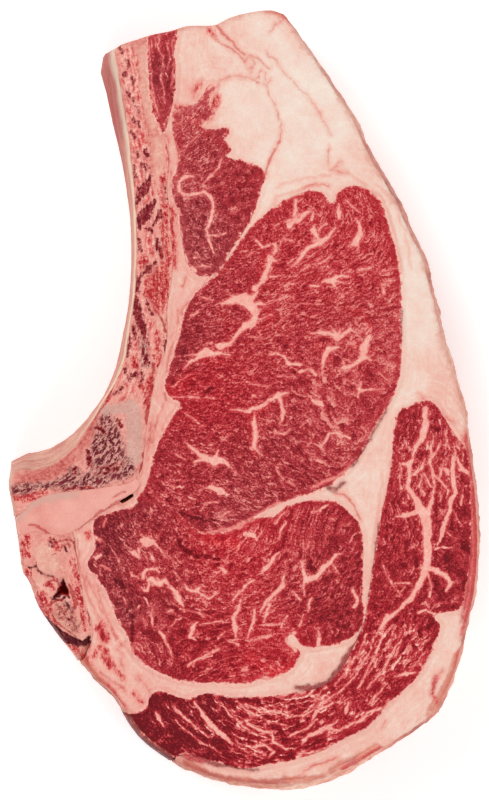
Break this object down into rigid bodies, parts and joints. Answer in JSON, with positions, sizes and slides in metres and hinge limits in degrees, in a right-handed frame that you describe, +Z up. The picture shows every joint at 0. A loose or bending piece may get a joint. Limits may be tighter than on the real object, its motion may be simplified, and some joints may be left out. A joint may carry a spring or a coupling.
{
  "type": "dry-aged bone-in ribeye steak",
  "caption": "Thick raw beef steak on the rib, dry aged, lying flat: marbled muscles, cream fat, curved rib bone, cartilage and chine.",
  "frame": {"origin": "on the surface it rests on, under the middle of the steak's box", "axes": "+Y towards the tip of the rib and the thin tail end, +X towards the fat cap's side, +Z up out of the shown cut face"},
  "size_m": [0.1596, 0.2626, 0.036],
  "materials": {
    "lean": "moist, marbled with fine fat",
    "fat": "satin, waxy",
    "bone": "sawn, with dark marrow and a silvery skin on the side",
    "cartilage": "smooth, moist"
  },
  "bodies": {
    "root": {"fat": "fat", "eye_muscle": "lean", "inner_muscle": "lean", "cap_muscle": "lean", "tail_muscle": "lean", "rib_muscle": "lean", "rib_bone": "bone", "chine_bone": "bone", "cartilage_pad": "cartilage"}
  },
  "joints": []
}
